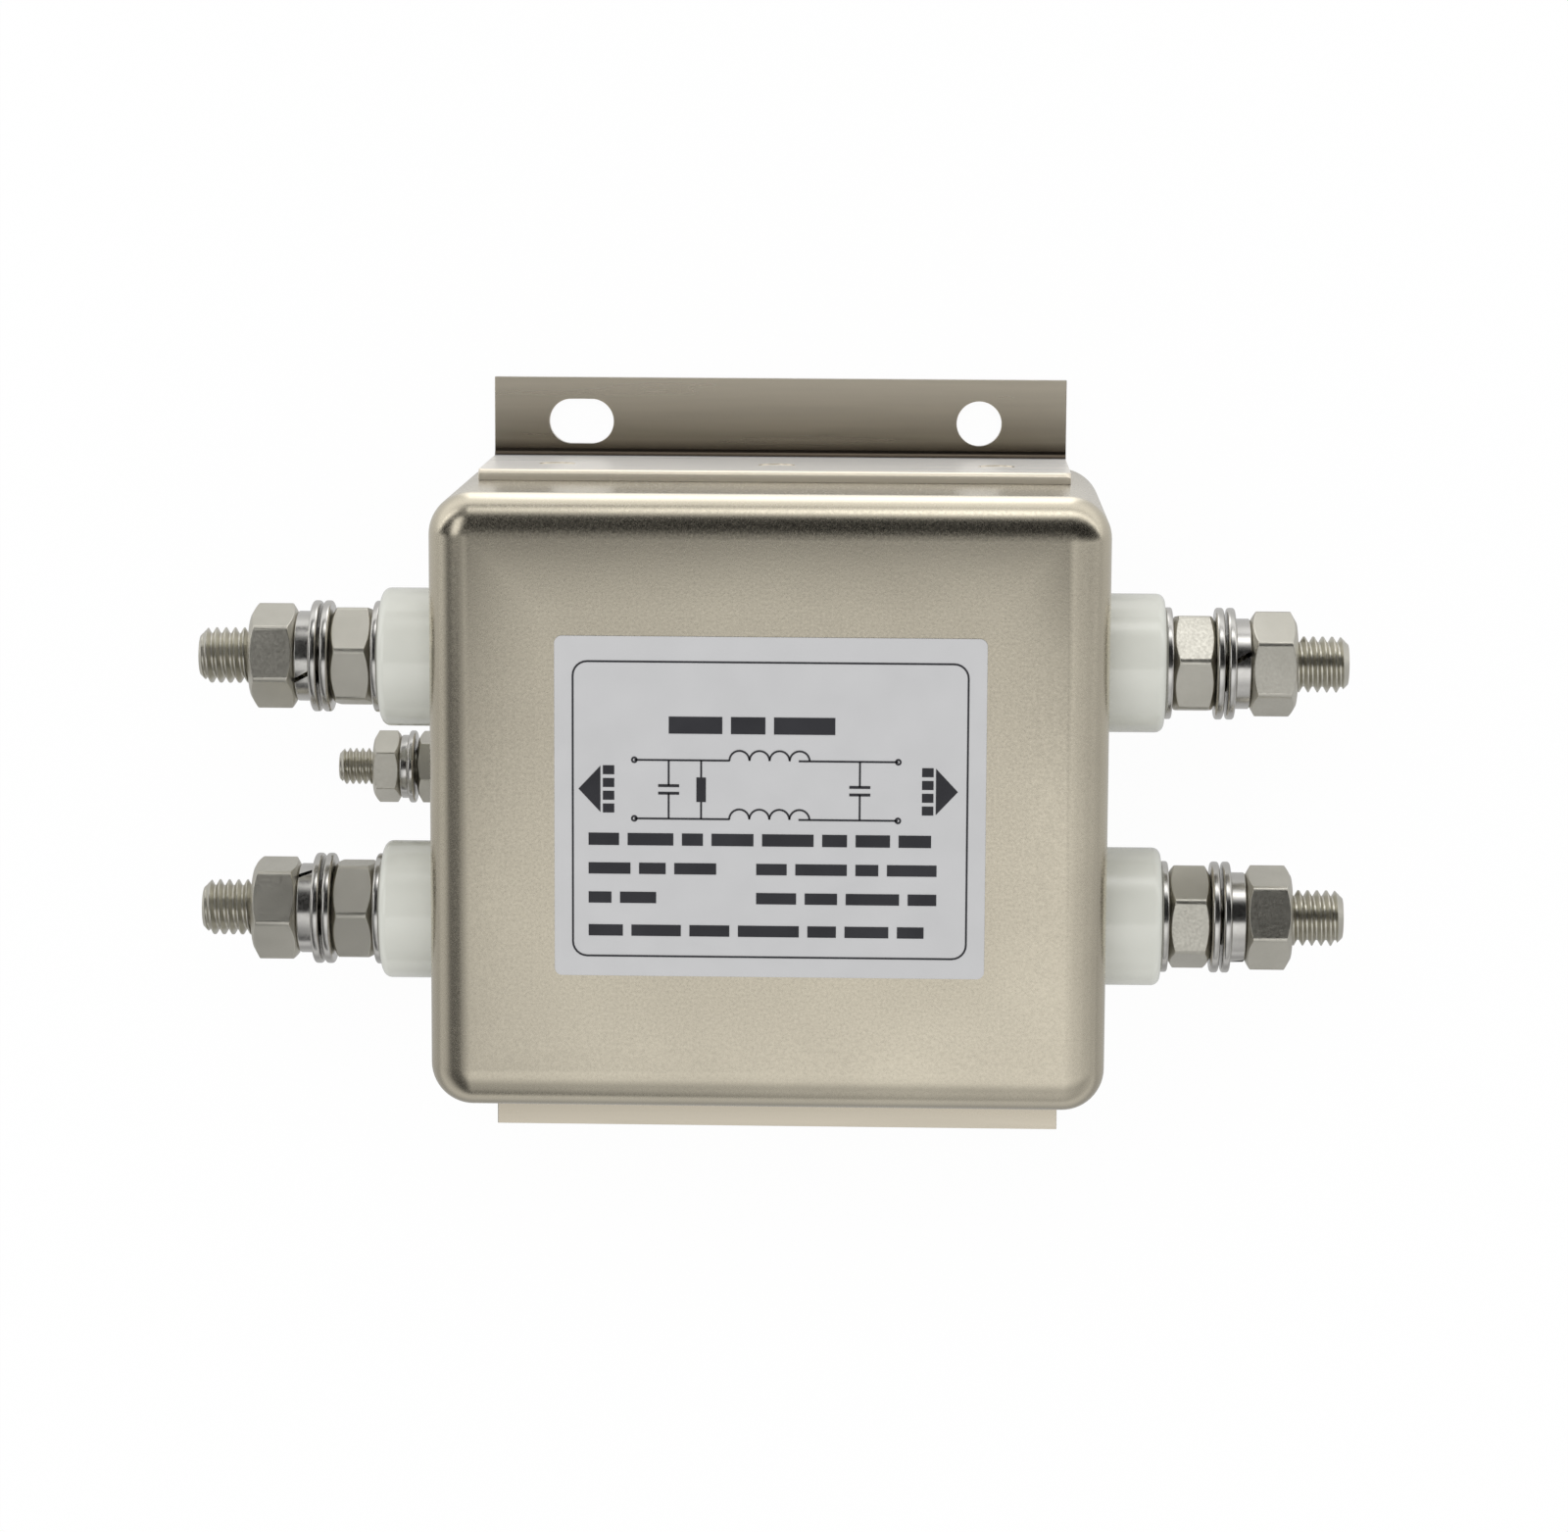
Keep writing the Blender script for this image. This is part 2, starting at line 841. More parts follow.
@dataclass
class PressedLid(DrawnPan):
    """The pan pressed into the back of the can, with its rim turned up."""

    node: str = "pressed_lid"
    corner_r: float = 3.4
    edge_r: float = 1.6
    floor_up: bool = False

    def build(self, finish: bpy.types.Material) -> None:
        """Presses and plates the lid."""
        self.shape().shaded().mounted(finish, "nickel_plated_can", "pressed_lid")


@dataclass
class Bracket:
    """An angle of sheet with a hole and a slot in its flange, spot-welded by its web."""

    sheet_t: float = 1.2
    bend_r: float = 0.8
    hole_r: float = 2.5
    hole_x: float = 22.2
    hole_edge: float = 4.9
    slot_half: float = 1.1
    weld_r: float = 2.0
    weld_pitch: float = 24.0
    weld_depth: float = 0.15
    weld_share: float = 0.6
    rim_r: float = 0.8

    def hole(self, x: float, y: float, stretch: float) -> Workpiece:
        """Makes the punch for a hole, or for a slot where it is stretched.

        Args:
            x: the punch's place along the flange.
            y: its place across the flange.
            stretch: how far each end moves out.

        Returns:
            The punch.
        """
        punch = Workpiece.rod("punch", self.hole_r, -1, self.sheet_t + 1, 47)
        for way in (-1, 1):
            punch.pick(Pick.POINTS, lambda at, _, w=way: at.x * w > NEAR)
            punch.edit(bpy.ops.transform.translate, value=(way * stretch * MM, 0, 0))
        punch.all().edit(bpy.ops.transform.translate, value=(x * MM, y * MM, 0))
        return punch

    def shape(self) -> Workpiece:
        """Bends and punches the upper bracket.

        Returns:
            The bracket on the +Y wall.
        """
        low, high = box_mm("bracket_upper")
        bend = self.bend_r + self.sheet_t
        start = low.y + bend
        flat = (low.x, start, 0), (high.x, high.y, self.sheet_t)
        bracket = Workpiece.block("bracket_bent", *flat)
        bracket.pick(Pick.FACES, lambda at, way: way.y < -ALONG)
        bracket.edit(bpy.ops.mesh.delete, type="ONLY_FACE")
        bracket.pick(Pick.EDGES, lambda at, way: abs(at.y - start) < NEAR)
        bracket.edit(
            bpy.ops.mesh.spin,
            steps=8,
            angle=math.pi / 2,
            center=(0, start * MM, bend * MM),
            axis=(1, 0, 0),
        )
        bracket.pick(Pick.EDGES, lambda at, way: abs(at.z - bend) < NEAR)
        rise = {"value": (0, 0, (high.z - bend) * MM)}
        bracket.edit(bpy.ops.mesh.extrude_region_move, TRANSFORM_OT_translate=rise)
        bracket.pick(Pick.EDGES, lambda at, way: abs(at.z - high.z) < NEAR)
        bracket.edit(bpy.ops.mesh.edge_face_add)
        bracket.closed_up()
        hole_y = high.y - self.hole_edge
        bracket.combine(Join.CUT, self.hole(self.hole_x, hole_y, 0))
        bracket.combine(Join.CUT, self.hole(-self.hole_x, hole_y, self.slot_half))
        face_y = low.y + self.sheet_t
        for step in (-1, 0, 1):
            electrode = Workpiece.rod("electrode", self.weld_r, 0, 1, 32)
            spot = (step * self.weld_pitch, face_y - self.weld_depth, high.z * self.weld_share)
            turn = Matrix.Rotation(-math.pi / 2, 4, "X")
            place = Matrix.Translation(Vector(spot) * MM) @ turn
            bracket.combine(Join.CUT, electrode.placed(place))
        bracket.pick(
            Pick.EDGES,
            lambda at, way: abs(at.z - high.z) < NEAR and abs(at.y - face_y) < NEAR,
        )
        return bracket.rounded(self.rim_r, 6).softened(0.12).shaded()

    def build(self, finish: bpy.types.Material) -> None:
        """Makes both brackets: the lower one is the upper one turned half round.

        Args:
            finish: the plated metal.
        """
        upper = self.shape()
        turned = Matrix.Rotation(math.pi, 4, "Z")
        lower = upper.copied("bracket_bent_lower", turned)
        upper.mounted(finish, "nickel_plated_sheet", "bracket_upper")
        lower.mounted(finish, "nickel_plated_sheet", "bracket_lower")


# ---- The label ----


@dataclass
class Label:
    """The film label: a thin frame, two side arrows, a circuit of bars and rows of print."""

    corner_r: float = 0.8
    ink_t: float = 0.03
    line: float = 0.3
    thin: float = 0.2
    # The thin frame: its middle, its size and its corner radius
    border: tuple[float, ...] = (0, -0.25, 41.5, 31.4, 1.6)
    # The side arrows' middles, their widths with the way they point, and their height
    arrows: tuple[tuple[float, float], ...] = ((-18.9, -2.3), (18.5, 2.3))
    arrow_h: float = 4.9
    mid_y: float = 1.9
    # The upright bars beside the arrows: their places, their width, and their blocks' steps
    side_bars: tuple[float, float] = (-16.9, 16.5)
    side_w: float = 1.2
    side_steps: tuple[float, ...] = (-1.5, -0.5, 0.5, 1.5)
    block_pitch: float = 1.35
    block_h: float = 0.95
    # The circuit's rails, from its middle, and the two lines of each with its ends
    rails: tuple[float, float] = (3.1, -3.1)
    lines: tuple[tuple[float, float], ...] = ((-9.2, 10.0), (8.2, 10.4))
    ends: tuple[float, float] = (-14.2, 13.4)
    end_r: float = 0.35
    # The coils' bows: the first one's place, their pitch, radius and number
    bow: tuple[float, float, float] = (-3.2, 2.1, 1.05)
    bows: int = 4
    # The plated bars between the rails, and the solid one
    plated: tuple[float, float] = (-10.6, 9.4)
    plates: tuple[float, float] = (0.4, -0.4)
    solid_x: float = -7.2
    # Rows of print: the left end, middle and height of each, and its bars' widths
    rows: tuple[tuple[float, float, float, tuple[float, ...]], ...] = (
        (-10.6, 8.7, 1.8, (5.6, 3.6, 6.4)),
        (-19.0, -3.4, 1.3, (3.2, 4.8, 2.2, 4.4, 5.4, 2.6, 3.6, 3.4)),
        (-19.0, -6.5, 1.2, (4.4, 2.8, 4.4)),
        (-1.4, -6.5, 1.2, (3.2, 5.4, 2.4, 5.2)),
        (-19.0, -9.6, 1.2, (2.4, 3.8)),
        (-1.4, -9.6, 1.2, (4.2, 3.4, 5.6, 3.0)),
        (-19.0, -13.1, 1.2, (3.6, 5.2, 4.2, 6.4, 3.0, 4.6, 2.8)),
    )
    word_gap: float = 0.9

    def __post_init__(self) -> None:
        """Finds the label's middle and its printed face."""
        self.low, self.high = box_mm("label_plate")
        self.middle = (self.low + self.high) / 2
        self.face_z = self.high.z - self.ink_t
        self.shapes: list[Workpiece] = []

    def plate(self, finish: bpy.types.Material) -> None:
        """Cuts the film with round corners.

        Args:
            finish: the film.
        """
        top = (self.high.x, self.high.y, self.face_z)
        film = Workpiece.block("label_film", self.low, top)
        film.pick(Pick.EDGES, lambda at, way: abs(way.z) > ALONG)
        film.rounded(self.corner_r, 8).softened(0.08).shaded()
        film.mounted(finish, "label_film", "label_plate")

    def spot(self, x: float, y: float) -> Vector:
        """Gives a place on the printed face from the label's middle, in metres."""
        return Vector((self.middle.x + x, self.middle.y + y, self.face_z)) * MM

    def patch(self, x: float, y: float, w: float, h: float) -> Workpiece:
        """Lays one flat patch of ink on the film.

        Args:
            x: the patch's middle, from the label's middle.
            y: the same across.
            w: its width.
            h: its height.

        Returns:
            The flat patch.
        """
        plane = bpy.ops.mesh.primitive_plane_add
        patch = Workpiece.begun("ink", plane, (w, h, 1), size=MM, location=self.spot(x, y))
        self.shapes.append(patch)
        return patch

    def outlined(self, shape: Workpiece) -> None:
        """Takes the inside out of a flat shape and leaves a thin line."""
        shape.pick(Pick.FACES, lambda at, way: True)
        shape.edit(bpy.ops.mesh.inset, thickness=self.thin * MM)
        shape.edit(bpy.ops.mesh.delete, type="FACE")

    def arrow(self, x: float, w: float) -> None:
        """Prints a solid triangle that points along X by the sign of its width."""
        patch = self.patch(x, self.mid_y, abs(w), self.arrow_h)
        tip = self.middle.x + x
        patch.pick(Pick.POINTS, lambda at, _: (at.x - tip) * w > 0)
        patch.edit(bpy.ops.mesh.merge, type="CENTER")

    def ring(self, x: float, y: float, radius: float, half: bool) -> None:
        """Prints a ring, or its upper half, as one bow of a coil.

        Args:
            x: the ring's middle, from the label's middle.
            y: the same across.
            radius: its outer radius.
            half: whether its lower half is left out.
        """
        ring = Workpiece.begun(
            "ink_ring",
            bpy.ops.mesh.primitive_circle_add,
            vertices=24,
            radius=radius * MM,
            fill_type="NGON",
            location=self.spot(x, y),
        )
        self.outlined(ring)
        if half:
            ring.all().edit(
                bpy.ops.mesh.bisect,
                plane_co=self.spot(x, y),
                plane_no=(0, 1, 0),
                clear_inner=True,
                threshold=MERGE,
            )
        self.shapes.append(ring)

    def circuit(self) -> None:
        """Prints a plain two-line circuit: two coils on the rails and bars between them."""
        first, pitch, radius = self.bow
        for rail in self.rails:
            for x, w in self.lines:
                self.patch(x, rail + self.mid_y, w, self.thin)
            for turn in range(self.bows):
                place = (first + pitch * turn, rail + self.mid_y)
                self.ring(*place, radius + self.thin / 2, True)
            for x in self.ends:
                self.ring(x, rail + self.mid_y, self.end_r, False)
        for x in self.plated:
            for way in (1, -1):
                self.patch(x, self.mid_y + way * 1.75, self.thin, 2.7)
            for plate in self.plates:
                self.patch(x, self.mid_y + plate, 2.2, self.line)
        self.patch(self.solid_x, self.mid_y, 1.0, 2.6)
        for way in (1, -1):
            self.patch(self.solid_x, self.mid_y + way * 2.2, self.thin, 1.8)

    def build(self, film: bpy.types.Material, ink: bpy.types.Material) -> None:
        """Makes the film and prints all of it as one thin layer of ink.

        Args:
            film: the film's finish.
            ink: the print's finish.
        """
        self.plate(film)
        *place, edge = self.border
        border = self.patch(*place)
        self.outlined(border.all().rounded(edge, 6, affect="VERTICES"))
        for x, w in self.arrows:
            self.arrow(x, w)
        for x in self.side_bars:
            for step in self.side_steps:
                self.patch(x, self.mid_y + step * self.block_pitch, self.side_w, self.block_h)
        self.circuit()
        for x, y, height, words in self.rows:
            for width in words:
                self.patch(x + width / 2, y, width, height)
                x += width + self.word_gap
        ink_layer = self.shapes[0]
        for shape in self.shapes[1:]:
            ink_layer.joined(shape)
        ink_layer.obj.name = ink_layer.obj.data.name = "label_print"
        sheet = {"thickness": self.ink_t * MM, "offset": 1, "use_even_offset": True}
        ink_layer.modify("SOLIDIFY", **sheet).mounted(ink, "label_film")


# ---- Terminals ----


@dataclass(frozen=True)
class Terminal:
    """One terminal: its name, its wall and how far its nuts and its split are turned."""

    name: str
    side: Side
    lock_turn: float
    nut_turn: float
    split: float


TERMINALS = (
    Terminal("line_l", Side.LINE, 43, 9, -21),
    Terminal("line_n", Side.LINE, 32, 22, 60),
    Terminal("load_l", Side.LOAD, 39, 0, 15),
    Terminal("load_n", Side.LOAD, -3, 14, -70),
)


def wall_frame(side: int, wall: float, y: float, z: float) -> Matrix:
    """Gives a stud's place on the wall of a side, with +Z turned along the stud."""
    turn = Matrix.Rotation(side * math.pi / 2, 4, "Y")
    return Matrix.Translation(Vector((wall, y, z)) * MM) @ turn


@dataclass
class Thread:
    """A coarse metric thread on a headed stud."""

    d: float
    pitch: float
    head_s: float
    head_bottom: float
    head_top: float
    out: float
    engaged: tuple[tuple[float, float], ...]
    steps: int = 40
    # How deep the tip's chamfer goes, as a share of the diameter
    tip_share: float = 0.14

    def helix(self, bottom: float, top: float) -> Workpiece:
        """Sweeps one pitch of the thread's section along its helix.

        Args:
            bottom: where the thread starts.
            top: where it ends.

        Returns:
            The closed threaded rod.
        """
        p, crest = self.pitch, self.d / 2
        root = crest - THREAD_DEPTH * p
        flank, flat = THREAD_FLANK * p, THREAD_CREST * p
        start = bottom - 1.37 * p
        corners = [
            Corner(root, start),
            Corner(crest, start + flank),
            Corner(crest, start + flank + flat),
            Corner(root, start + 2 * flank + flat),
            Corner(root, start + p),
        ]
        rod = Workpiece.wire("thread", corners, False)
        turns = math.ceil((top - bottom) / p) + 2
        rod.modify(
            "SCREW",
            axis="Z",
            angle=math.tau,
            steps=self.steps,
            render_steps=self.steps,
            screw_offset=p * MM,
            iterations=turns,
        )
        rod.all().edit(bpy.ops.mesh.remove_doubles, threshold=MERGE)
        for z, way in ((bottom, 1), (top, -1)):
            rod.all().edit(
                bpy.ops.mesh.bisect,
                plane_co=(0, 0, z * MM),
                plane_no=(0, 0, way),
                use_fill=True,
                clear_inner=True,
                threshold=MERGE,
            )
        return rod.closed_up()

    def shape(self, name: str) -> Workpiece:
        """Makes the whole stud: thread, chamfered tip and hexagon head.

        Args:
            name: the master's name.

        Returns:
            The stud, with +Z along it.
        """
        over = self.d / 2 + 0.2
        inner = self.d / 2 - PITCH_LINE * self.pitch
        tip = self.d / 2 - self.tip_share * self.d
        start = self.head_top - 1
        places = [(0, start), (over, start)]
        for low, high in self.engaged:
            places += [(over, low), (inner, low), (inner, high), (over, high)]
        places += [(over, self.out - (over - tip)), (tip, self.out), (0, self.out)]
        corners = [Corner(*place) for place in places]
        outline = Workpiece.turned(f"{name}_outline", corners, False)
        stud = self.helix(start - self.pitch, self.out + self.pitch)
        stud.combine(Join.COMMON, outline)
        head = HexNut(self.head_s, self.head_top - self.head_bottom).hexagon("head")
        move = (0, 0, self.head_bottom * MM)
        head.all().edit(bpy.ops.transform.translate, value=move)
        stud.combine(Join.WELD, head)
        stud.obj.name = stud.obj.data.name = name
        return stud.shaded(25)


@dataclass
class HexNut:
    """A hexagon nut: both ends turned down to a cone, bore countersunk, edges broken."""

    s: float
    h: float
    d: float = 0.0
    pitch: float = 0.0
    edge: float = 0.4
    rim: float = 0.15
    end_share: float = 0.9
    # How far the bore clears the thread, and the width of its countersink by the thread's
    clear: float = 0.05
    mouth_share: float = 0.53

    def hexagon(self, name: str) -> Workpiece:
        """Cuts the hexagon with its turned-down corners.

        Args:
            name: the piece's name.

        Returns:
            The hexagon, from Z 0 up, with a flat towards +X.
        """
        corner = self.s / 2 / math.cos(math.pi / 6)
        face = self.end_share * self.s / 2
        reach = corner + 0.3
        drop = (reach - face) * math.tan(math.pi / 6)
        # The bar runs past both ends, so that no face of it lies on the cone's ends
        blank = Workpiece.rod(name, corner, -1, self.h + 1, 6)
        blank.pick(Pick.EDGES, lambda at, way: abs(way.z) > ALONG)
        blank.rounded(self.edge, 4)
        places = (0, 0), (face, 0), (reach, drop)
        cone = [Corner(r, z) for r, z in places]
        cone += [Corner(r, self.h - z) for r, z in reversed(places)]
        return blank.combine(Join.COMMON, Workpiece.turned("cone", cone, False, 94))

    def shape(self, name: str) -> Workpiece:
        """Bores the nut and breaks its edges.

        Args:
            name: the master's name.

        Returns:
            The nut, from Z 0 up.
        """
        nut = self.hexagon(name)
        bore = self.d / 2 - PITCH_LINE * self.pitch + self.clear
        mouth = self.mouth_share * self.d
        places = (0, -1), (mouth + 1, -1), (bore, mouth - bore)
        drill = [Corner(r, z) for r, z in places]
        drill += [Corner(r, self.h - z) for r, z in reversed(places)]
        nut.combine(Join.CUT, Workpiece.turned("drill", drill, False, 48))
        return nut.softened(self.rim, segments=3).shaded()


def turned_washer(name: str, d: float, t: float, bore: float, edge: float) -> Workpiece:
    """Stamps a washer of some size, from Z 0 up, with its rim rounded by tumbling."""
    inner, outer = (bore / 2, 0.1), (d / 2, edge)
    places = (inner, 0), (outer, 0), (outer, t), (inner, t)
    return Workpiece.turned(name, [Corner(r, z, arc) for (r, arc), z in places])


def split_ring(name: str, d: float, t: float, bore: float, slit: float) -> Workpiece:
    """Makes a flattened spring washer with a slanted slit towards +X.

    Args:
        name: the piece's name.
        d: the outside diameter.
        t: the thickness.
        bore: the diameter of its hole.
        slit: the width of the slit.

    Returns:
        The spring washer, from Z 0 up.
    """
    ring = turned_washer(name, d, t, bore, 0.15)
    low, high = (0.5, -slit / 2, -2 * t), (d, slit / 2, 2 * t)
    saw = Workpiece.block("saw", low, high)
    place = Matrix.Translation((0, 0, t / 2 * MM)) @ Matrix.Rotation(math.pi / 6, 4, "X")
    return ring.combine(Join.CUT, saw.placed(place))


@dataclass
class Finishes:
    """The finishes of the outside pieces."""

    satin: bpy.types.Material
    polished: bpy.types.Material
    thread: bpy.types.Material
    plastic: bpy.types.Material


@dataclass
class TerminalSet:
    """The four M6 terminals: each piece is made once and copied to every wall place."""

    d: float = 6.0
    pitch: float = 1.0
    nut_s: float = 10.0
    bushing_d: float = 14.9
    bushing_h: float = 6.2
    bushing_edge: float = 0.9
    spigot_d: float = 9.0
    spigot_end: float = -2.2
    washer_d: float = 12.0
    seat_t: float = 0.8
    washer_t: float = 0.9
    spring_d: float = 9.7
    spring_t: float = 1.6
    slit: float = 0.5
    bore: float = 6.2
    lock_z: float = 7.0
    lock_h: float = 4.6
    washer_z: float = 11.6
    gap: float = 0.3
    nut_h: float = 5.0
    out: float = 25.9
    head: tuple[float, float] = (-10.1, -6.1)
    masters: dict[str, Workpiece] = field(default_factory=dict)

    def bushing(self) -> Workpiece:
        """Turns the insulating bushing with its spigot."""
        r, spigot = self.bushing_d / 2, self.spigot_d / 2
        corners = [
            Corner(self.bore / 2, self.spigot_end),
            Corner(spigot, self.spigot_end, 0.2),
            Corner(spigot, 0),
            Corner(r, 0, 0.15),
            Corner(r, self.bushing_h, self.bushing_edge),
            Corner(self.bore / 2, self.bushing_h, 0.2),
        ]
        return Workpiece.turned("bushing", corners, sides=96).shaded()

    def make_masters(self) -> None:
        """Models each piece of the stack once, with +Z along the stud."""
        second = self.washer_z + self.washer_t + self.gap
        self.spring_z = second + self.washer_t
        self.nut_z = self.spring_z + self.spring_t
        engaged = (self.lock_z, self.washer_z), (self.nut_z, self.nut_z + self.nut_h)
        stud = Thread(self.d, self.pitch, self.nut_s, *self.head, self.out, engaged)
        lock = HexNut(self.nut_s, self.lock_h, self.d, self.pitch)
        nut = HexNut(self.nut_s, self.nut_h, self.d, self.pitch)
        size = (self.washer_d, self.washer_t, self.bore, 0.3)
        pair = turned_washer("washers", *size)
        other = pair.copied("washer_two", lift(second - self.washer_z))
        pair.joined(other)
        seat = turned_washer("seat", self.washer_d, self.seat_t, self.bore, 0.25)
        ring = split_ring("spring", self.spring_d, self.spring_t, self.bore, self.slit)
        self.masters = {
            "stud": stud.shape("stud"),
            "bushing": self.bushing(),
            "seat_washer": seat.shaded(),
            "lock_nut": lock.shape("lock_nut"),
            "flat_washers": pair.shaded(),
            "spring_washer": ring.shaded(),
            "outer_nut": nut.shape("outer_nut"),
        }

    def build(self, finishes: Finishes) -> None:
        """Places every terminal's pieces.

        Args:
            finishes: the finishes of the outside pieces.
        """
        self.make_masters()
        # Each piece's height over the wall and its finish
        stack = {
            "stud": (0.0, finishes.thread),
            "bushing": (0.0, finishes.plastic),
            "seat_washer": (self.bushing_h, finishes.polished),
            "lock_nut": (self.lock_z, finishes.satin),
            "flat_washers": (self.washer_z, finishes.polished),
            "spring_washer": (self.spring_z, finishes.polished),
            "outer_nut": (self.nut_z, finishes.satin),
        }
        for terminal in TERMINALS:
            side = terminal.side.value
            low, high = box_mm(f"bushing_{terminal.name}")
            wall = box_mm("can")[1].x * side
            base = wall_frame(side, wall, (low.y + high.y) / 2, (low.z + high.z) / 2)
            turns = {
                "lock_nut": -side * terminal.lock_turn,
                "outer_nut": -side * terminal.nut_turn,
                "spring_washer": 180 - terminal.split if side > 0 else terminal.split,
            }
            for part, (z, finish) in stack.items():
                turn = Matrix.Rotation(math.radians(turns.get(part, 0)), 4, "Z")
                node = f"{part}_{terminal.name}"
                made = self.masters[part].copied(f"{node}_made", base @ lift(z) @ turn)
                slot = "bushing_plastic" if part == "bushing" else HARDWARE
                made.mounted(finish, slot, node)
        for master in self.masters.values():
            master.removed()


def lift(z: float) -> Matrix:
    """Gives a move along Z of some millimetres."""
    return Matrix.Translation((0, 0, z * MM))


@dataclass
class EarthTerminal:
    """The M4 earth stud with its nuts and washers on the line wall."""

    d: float = 4.0
    pitch: float = 0.7
    nut_s: float = 7.0
    nut_h: float = 3.0
    washer_d: float = 8.0
    washer_t: float = 0.7
    spring_d: float = 7.0
    spring_t: float = 0.9
    slit: float = 0.5
    bore: float = 4.2
    gap: float = 0.3
    out: float = 12.5
    inner_z: float = -1.7
    head: tuple[float, float] = (-5.3, -2.5)
    lock_turn: float = 17.0
    nut_turn: float = 0.0
    split: float = 150.0

    def build(self, finishes: Finishes) -> None:
        """Makes and places the earth terminal's pieces.

        Args:
            finishes: the finishes of the outside pieces.
        """
        low, high = box_mm("earth_outer_nut")
        wall = box_mm("can")[0].x
        base = wall_frame(-1, wall, (low.y + high.y) / 2, (low.z + high.z) / 2)
        lock_z = self.washer_t
        washer_z = lock_z + self.nut_h + self.gap
        spring_z = washer_z + self.washer_t
        nut_z = spring_z + self.spring_t
        engaged = ((lock_z, lock_z + self.nut_h), (nut_z, nut_z + self.nut_h))
        thread = Thread(
            self.d, self.pitch, self.nut_s, *self.head, self.out, engaged, 32
        )
        stud = thread.shape("earth_stud_cut")
        nut = HexNut(self.nut_s, self.nut_h, self.d, self.pitch, 0.1).shape("earth_nut")
        washer = turned_washer("earth_washer", self.washer_d, self.washer_t, self.bore, 0.22)
        stack = washer.copied("earth_washer_stack", lift(self.inner_z))
        for z in (0, washer_z):
            stack.joined(washer.copied("earth_washer_next", lift(z)))
        size = (self.spring_d, self.spring_t, self.bore, self.slit)
        ring = split_ring("earth_spring", *size).shaded()
        made = (
            (stud, 0.0, 0.0, finishes.thread, "earth_stud"),
            (stack.shaded(), 0.0, 0.0, finishes.polished, "earth_washers"),
            (nut, lock_z, self.lock_turn, finishes.satin, "earth_lock_nut"),
            (ring, spring_z, self.split, finishes.polished, "earth_spring_washer"),
            (nut, nut_z, self.nut_turn, finishes.satin, "earth_outer_nut"),
        )
        for master, z, turn, finish, node in made:
            place = base @ lift(z) @ Matrix.Rotation(math.radians(turn), 4, "Z")
            master.copied(f"{node}_made", place).mounted(finish, HARDWARE, node)
        for master in (stud, stack, nut, ring, washer):
            master.removed()


# ---- Inside ----


@dataclass
class Interior:
    """The pieces inside the sealed can: merged, smooth copies of their CAD nodes."""

    smooth: float = 35.0

    def dress(self, node: str, finish: bpy.types.Material, slot: str) -> None:
        """Copies one CAD node, merges it, shades it and gives it its finish.

        Args:
            node: the CAD node's name.
            finish: the piece's material.
            slot: the record's material slot.
        """
        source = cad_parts[node]
        obj = bpy.data.objects.new(f"{node}_inside", source.data.copy())
        bpy.context.scene.collection.objects.link(obj)
        piece = Workpiece(obj)
        piece.all().edit(bpy.ops.mesh.remove_doubles, threshold=MERGE)
        activate(obj)
        bpy.ops.object.shade_smooth_by_angle(angle=math.radians(self.smooth))
        piece.mounted(finish, slot, node)

    def build(self) -> None:
        """Dresses every inner piece in the material that it is made of."""
        plastic = MouldedPlastic("glass_filled_nylon", "#d2d3cd", "#dcddd7", 0.3).material()
        card = CoatedBody("pressed_insulating_card", "#dcd2b4", "#e8e0c8", 0.7, 0.8)
        tin = DrawnMetal("tinned_copper_strip", "#bcbcb8", "#d0d0cc", 0.3).material()
        copper = DrawnMetal("enamelled_copper_wire", "#a3511f", "#bd6a35", 0.25, 0.8)
        earth = MouldedPlastic("pvc_lead_insulation", "#578f36", "#68a344", 0.4)
        core = CoatedBody("epoxy_coated_ferrite", "#66857c", "#789a90", 0.45)
        divider = MouldedPlastic("moulded_divider_plastic", "#dedacc", "#ece8dc", 0.35)
        film = MouldedPlastic("film_capacitor_box", "#c9ae3a", "#d8bf52", 0.4)
        disc = CoatedBody("dipped_ceramic_disc", "#2f5f9c", "#3c70b0", 0.35)
        dressed = (
            (plastic, "bushing_plastic", [f"collar_{t.name}" for t in TERMINALS]),
            (card.material(), "liner_card", ["lid_liner"]),
            (GlassLaminate().material(), "board_laminate", ["component_board"]),
            (tin, HARDWARE, ["inner_washers"]),
            (tin, "tinned_copper", ["inner_lugs", "earth_lug", "link_wires"]),
            (earth.material(), "lead_insulation", ["earth_lead"]),
            (core.material(), "coated_ferrite", ["choke_core"]),
            (divider.material(), "divider_plastic", ["choke_divider"]),
            (BandedBody().material(), "resistor_body", ["bleeder_resistor"]),
            (copper.material(), "enamelled_copper", ["winding_l", "winding_n"]),
            (film.material(), "film_capacitor", ["x_capacitor_line", "x_capacitor_load"]),
            (disc.material(), "disc_capacitor", ["y_capacitor_l", "y_capacitor_n"]),
        )
        for finish, slot, nodes in dressed:
            for node in nodes:
                self.dress(node, finish, slot)


# ---- Studio ----


